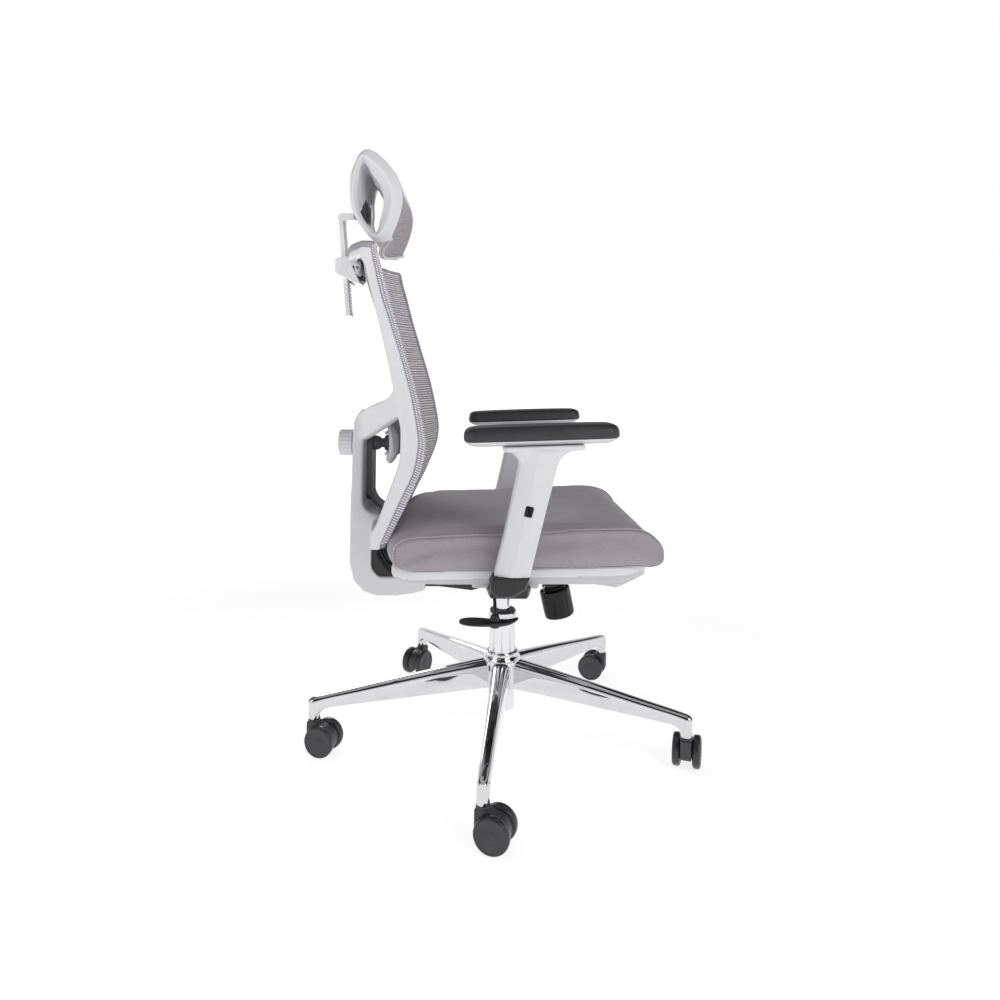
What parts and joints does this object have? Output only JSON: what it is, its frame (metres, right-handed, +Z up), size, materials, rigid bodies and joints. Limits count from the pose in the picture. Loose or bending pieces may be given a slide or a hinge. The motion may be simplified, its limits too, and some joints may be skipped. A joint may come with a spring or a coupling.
{
  "type": "swivel office chair",
  "caption": "Ergonomic swivel chair with mesh back, headrest, lumbar dial, adjustable armrests, padded seat, tilt mechanism and polished star base on twin-wheel casters.",
  "frame": {"origin": "on the floor, under the column axis", "axes": "+X the sitter's forward direction, +Y the sitter's left, +Z up along the column"},
  "size_m": [0.7185, 0.7111, 1.095],
  "materials": {
    "chrome": "mirror polished",
    "steel": "plain steel",
    "black_plastic": "fine texture",
    "black_metal": "black powder coat",
    "white_plastic": "light grey-white satin",
    "grey_plastic": "mid grey",
    "mesh_fabric": "ribbed grey mesh",
    "seat_fabric": "grey woven",
    "board": "plywood",
    "pad_foam": "matte moulded foam",
    "caster_plastic": "dark grey nylon"
  },
  "bodies": {
    "base": {"star_base": "chrome", "lift_tube": "chrome", "guide_bush": "black_plastic", "thrust_bearing": "steel", "caster_stems": "steel"},
    "lift_rod": {"piston_rod": "steel"},
    "mechanism": {"pressure_cylinder": "chrome", "mechanism_housing": "black_metal", "pivot_pins": "steel", "tension_spring": "black_metal"},
    "lever": {"height_lever_rod": "black_metal", "lever_paddle": "black_plastic"},
    "tension_dial": {"tension_knob": "black_plastic", "tension_screw": "black_metal"},
    "seat": {"seat_plate": "black_metal", "seat_pan": "white_plastic", "seat_board": "board", "seat_cushion": "seat_fabric", "seat_bolts": "steel", "arm_bracket_right": "black_plastic", "arm_bracket_left": "black_plastic"},
    "back": {"back_support": "white_plastic", "back_bar": "black_metal", "back_frame": "white_plastic", "mesh_ring": "mesh_fabric", "back_mesh": "mesh_fabric", "back_bolts": "steel", "headrest_clamp": "white_plastic", "clamp_insert": "black_plastic", "lumbar_guide": "grey_plastic"},
    "lumbar_dial": {"lumbar_knob": "white_plastic"},
    "lumbar": {"lumbar_rod": "grey_plastic", "lumbar_pad": "grey_plastic"},
    "headrest_post": {"headrest_bar": "white_plastic"},
    "headrest": {"headrest_hinge": "black_plastic", "headrest_frame": "white_plastic", "headrest_mesh": "mesh_fabric"},
    "arm_right": {"arm_sleeve_right": "white_plastic"},
    "button_right": {"arm_button_right": "black_plastic"},
    "pad_right": {"pad_shell_right": "white_plastic", "arm_pad_right": "pad_foam"},
    "arm_left": {"arm_sleeve_left": "white_plastic"},
    "button_left": {"arm_button_left": "black_plastic"},
    "pad_left": {"pad_shell_left": "white_plastic", "arm_pad_left": "pad_foam"},
    "caster_1": {"caster_1": "caster_plastic"},
    "caster_1_wheel_a": {"caster_1_wheel_a": "caster_plastic"},
    "caster_1_wheel_b": {"caster_1_wheel_b": "caster_plastic"},
    "caster_2": {"caster_2": "caster_plastic"},
    "caster_2_wheel_a": {"caster_2_wheel_a": "caster_plastic"},
    "caster_2_wheel_b": {"caster_2_wheel_b": "caster_plastic"},
    "caster_3": {"caster_3": "caster_plastic"},
    "caster_3_wheel_a": {"caster_3_wheel_a": "caster_plastic"},
    "caster_3_wheel_b": {"caster_3_wheel_b": "caster_plastic"},
    "caster_4": {"caster_4": "caster_plastic"},
    "caster_4_wheel_a": {"caster_4_wheel_a": "caster_plastic"},
    "caster_4_wheel_b": {"caster_4_wheel_b": "caster_plastic"},
    "caster_5": {"caster_5": "caster_plastic"},
    "caster_5_wheel_a": {"caster_5_wheel_a": "caster_plastic"},
    "caster_5_wheel_b": {"caster_5_wheel_b": "caster_plastic"}
  },
  "joints": [
    {"name": "swivel", "type": "hinge", "parent": "base", "child": "lift_rod", "pos_m": [0, 0, 0.063], "axis": [0, 0, 1], "continuous": true},
    {"name": "seat_height", "type": "slide", "parent": "lift_rod", "child": "mechanism", "axis": [0, 0, 1], "range_m": [0, 0.1]},
    {"name": "recline", "type": "hinge", "parent": "mechanism", "child": "back", "pos_m": [-0.055, 0, 0.301], "axis": [0, -1, 0], "range_deg": [0, 20], "stiffness_Nm_per_rad": 40, "springref_deg": -40.11},
    {"name": "seat_tilt", "type": "hinge", "parent": "mechanism", "child": "seat", "pos_m": [0.095, 0, 0.323], "axis": [0, -1, 0], "range_deg": [0, 7.1]},
    {"name": "height_lever", "type": "hinge", "parent": "mechanism", "child": "lever", "pos_m": [-0.019, -0.04, 0.297], "axis": [-1, 0, 0], "range_deg": [0, 6], "stiffness_Nm_per_rad": 2, "springref_deg": -17.19},
    {"name": "tension_knob", "type": "hinge", "parent": "mechanism", "child": "tension_dial", "pos_m": [0.1, 0, 0.2795], "axis": [0.22, 0, -0.9755], "range_deg": [-540, 540]},
    {"name": "lumbar_knob", "type": "hinge", "parent": "back", "child": "lumbar_dial", "pos_m": [-0.305, 0, 0.559], "axis": [1, 0, 0], "range_deg": [0, 540]},
    {"name": "lumbar_depth", "type": "slide", "parent": "back", "child": "lumbar", "axis": [1, 0, 0], "range_m": [0, 0.012]},
    {"name": "headrest_height", "type": "slide", "parent": "back", "child": "headrest_post", "axis": [-0.09, 0, 0.9959], "range_m": [0, 0.05]},
    {"name": "headrest_tilt", "type": "hinge", "parent": "headrest_post", "child": "headrest", "pos_m": [-0.284, 0, 0.991], "axis": [0, 1, 0], "range_deg": [-20, 8]},
    {"name": "arm_height_right", "type": "slide", "parent": "seat", "child": "arm_right", "axis": [0.2209, 0, 0.9753], "range_m": [0, 0.07]},
    {"name": "arm_button_right", "type": "slide", "parent": "arm_right", "child": "button_right", "axis": [0, 1, 0], "range_m": [0, 0.003], "stiffness_N_per_m": 800, "springref_m": -0.002},
    {"name": "arm_pad_right", "type": "slide", "parent": "arm_right", "child": "pad_right", "axis": [0.9991, 0, 0.0419], "range_m": [-0.025, 0.025]},
    {"name": "arm_height_left", "type": "slide", "parent": "seat", "child": "arm_left", "axis": [0.2209, 0, 0.9753], "range_m": [0, 0.07]},
    {"name": "arm_button_left", "type": "slide", "parent": "arm_left", "child": "button_left", "axis": [0, -1, 0], "range_m": [0, 0.003], "stiffness_N_per_m": 800, "springref_m": -0.002},
    {"name": "arm_pad_left", "type": "slide", "parent": "arm_left", "child": "pad_left", "axis": [0.9991, 0, 0.0419], "range_m": [-0.025, 0.025]},
    {"name": "caster_1_swivel", "type": "hinge", "parent": "base", "child": "caster_1", "pos_m": [-0.03692, -0.35006, 0.05], "axis": [0, 0, 1], "continuous": true},
    {"name": "caster_1_spin_a", "type": "hinge", "parent": "caster_1", "child": "caster_1_wheel_a", "pos_m": [-0.01812, -0.3569, 0.028], "axis": [0.342, 0.9397, 0], "continuous": true},
    {"name": "caster_1_spin_b", "type": "hinge", "parent": "caster_1", "child": "caster_1_wheel_b", "pos_m": [-0.01812, -0.3569, 0.028], "axis": [0.342, 0.9397, 0], "continuous": true},
    {"name": "caster_2_swivel", "type": "hinge", "parent": "base", "child": "caster_2", "pos_m": [0.32152, -0.14328, 0.05], "axis": [0, 0, 1], "continuous": true},
    {"name": "caster_2_spin_a", "type": "hinge", "parent": "caster_2", "child": "caster_2_wheel_a", "pos_m": [0.32836, -0.12449, 0.028], "axis": [-0.9397, 0.342, 0], "continuous": true},
    {"name": "caster_2_spin_b", "type": "hinge", "parent": "caster_2", "child": "caster_2_wheel_b", "pos_m": [0.32836, -0.12449, 0.028], "axis": [-0.9397, 0.342, 0], "continuous": true},
    {"name": "caster_3_swivel", "type": "hinge", "parent": "base", "child": "caster_3", "pos_m": [0.23563, 0.2615, 0.05], "axis": [0, 0, 1], "continuous": true},
    {"name": "caster_3_spin_a", "type": "hinge", "parent": "caster_3", "child": "caster_3_wheel_a", "pos_m": [0.21721, 0.26932, 0.028], "axis": [-0.3907, -0.9205, 0], "continuous": true},
    {"name": "caster_3_spin_b", "type": "hinge", "parent": "caster_3", "child": "caster_3_wheel_b", "pos_m": [0.21721, 0.26932, 0.028], "axis": [-0.3907, -0.9205, 0], "continuous": true},
    {"name": "caster_4_swivel", "type": "hinge", "parent": "base", "child": "caster_4", "pos_m": [-0.17589, 0.3049, 0.05], "axis": [0, 0, 1], "continuous": true},
    {"name": "caster_4_spin_a", "type": "hinge", "parent": "caster_4", "child": "caster_4_wheel_a", "pos_m": [-0.18589, 0.28758, 0.028], "axis": [0.866, -0.5, 0], "continuous": true},
    {"name": "caster_4_spin_b", "type": "hinge", "parent": "caster_4", "child": "caster_4_wheel_b", "pos_m": [-0.18589, 0.28758, 0.028], "axis": [0.866, -0.5, 0], "continuous": true},
    {"name": "caster_5_swivel", "type": "hinge", "parent": "base", "child": "caster_5", "pos_m": [-0.34433, -0.07307, 0.05], "axis": [0, 0, 1], "continuous": true},
    {"name": "caster_5_spin_a", "type": "hinge", "parent": "caster_5", "child": "caster_5_wheel_a", "pos_m": [-0.32531, -0.07924, 0.028], "axis": [0.309, 0.9511, 0], "continuous": true},
    {"name": "caster_5_spin_b", "type": "hinge", "parent": "caster_5", "child": "caster_5_wheel_b", "pos_m": [-0.32531, -0.07924, 0.028], "axis": [0.309, 0.9511, 0], "continuous": true}
  ],
  "couplings": [
    {"joint": "seat_tilt", "follows": "recline", "ratio": 0.35},
    {"joint": "lumbar_knob", "follows": "lumbar_depth", "rad_per_m": 785.4}
  ]
}
